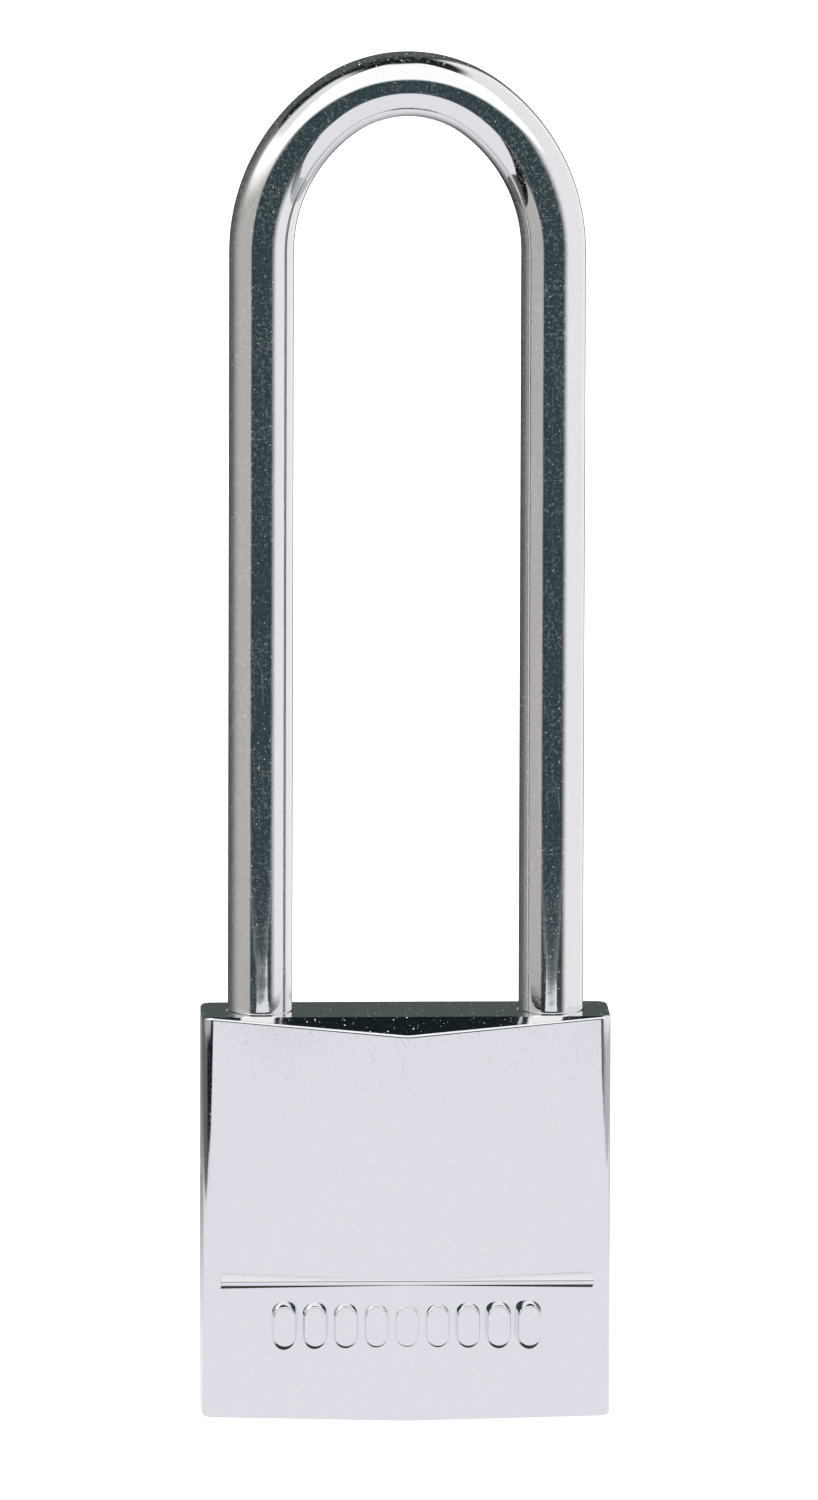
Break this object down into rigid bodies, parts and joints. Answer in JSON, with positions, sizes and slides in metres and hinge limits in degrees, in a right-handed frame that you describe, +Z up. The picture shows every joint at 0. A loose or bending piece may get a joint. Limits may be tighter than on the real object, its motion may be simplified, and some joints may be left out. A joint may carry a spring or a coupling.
{
  "type": "padlock",
  "caption": "Long-shackle padlock: a ridged, chrome-plated body with a raised bar and a tall steel shackle that springs up when the keyed plug turns.",
  "frame": {"origin": "centre of the bottom face", "axes": "+Z up along the shackle, -Y out of the front face, -X towards the captive heel leg of the shackle"},
  "size_m": [0.04, 0.0142, 0.1344],
  "materials": {
    "plated_shell": "bright chrome plate over a cast shell",
    "shackle_steel": "polished and plated hardened steel",
    "brass": "machined brass",
    "plug_brass": "turned brass with a broached keyway",
    "steel": "plain ground steel",
    "spring_steel": "drawn spring wire"
  },
  "bodies": {
    "body": {"case": "plated_shell", "lock_block": "brass", "base_plate": "plated_shell", "base_rivets": "steel", "case_pins": "plated_shell", "shackle_spring": "spring_steel", "retaining_pin": "steel", "lever_cover": "steel", "driver_pin_1": "steel", "driver_pin_2": "steel", "driver_pin_3": "steel", "driver_pin_4": "steel", "pin_spring_1": "spring_steel", "pin_spring_2": "spring_steel", "pin_spring_3": "spring_steel", "pin_spring_4": "spring_steel", "chamber_plug_1": "brass", "chamber_plug_2": "brass", "chamber_plug_3": "brass", "chamber_plug_4": "brass"},
    "shackle": {"shackle": "shackle_steel"},
    "plug": {"plug": "plug_brass", "cam": "steel", "key_pin_1": "brass", "key_pin_2": "brass", "key_pin_3": "brass", "key_pin_4": "brass"},
    "heel_lever": {"heel_lever": "brass", "heel_lever_spring": "spring_steel"},
    "toe_lever": {"toe_lever": "brass", "toe_lever_spring": "spring_steel"}
  },
  "joints": [
    {"name": "shackle_lift", "type": "slide", "parent": "body", "child": "shackle", "axis": [0, 0, 1], "range_m": [0, 0.0125], "deforming": ["shackle_spring"]},
    {"name": "plug_turn", "type": "hinge", "parent": "body", "child": "plug", "pos_m": [0, 0, 0.0016], "axis": [0, 0, 1], "range_deg": [-90, 0]},
    {"name": "heel_lever_slide", "type": "slide", "parent": "body", "child": "heel_lever", "axis": [-1, 0, 0], "range_m": [0, 0.0012]},
    {"name": "toe_lever_slide", "type": "slide", "parent": "body", "child": "toe_lever", "axis": [1, 0, 0], "range_m": [0, 0.0012]}
  ],
  "couplings": [
    {"joint": "plug_turn", "follows": "heel_lever_slide", "rad_per_m": -1309},
    {"joint": "toe_lever_slide", "follows": "heel_lever_slide", "ratio": 1}
  ]
}
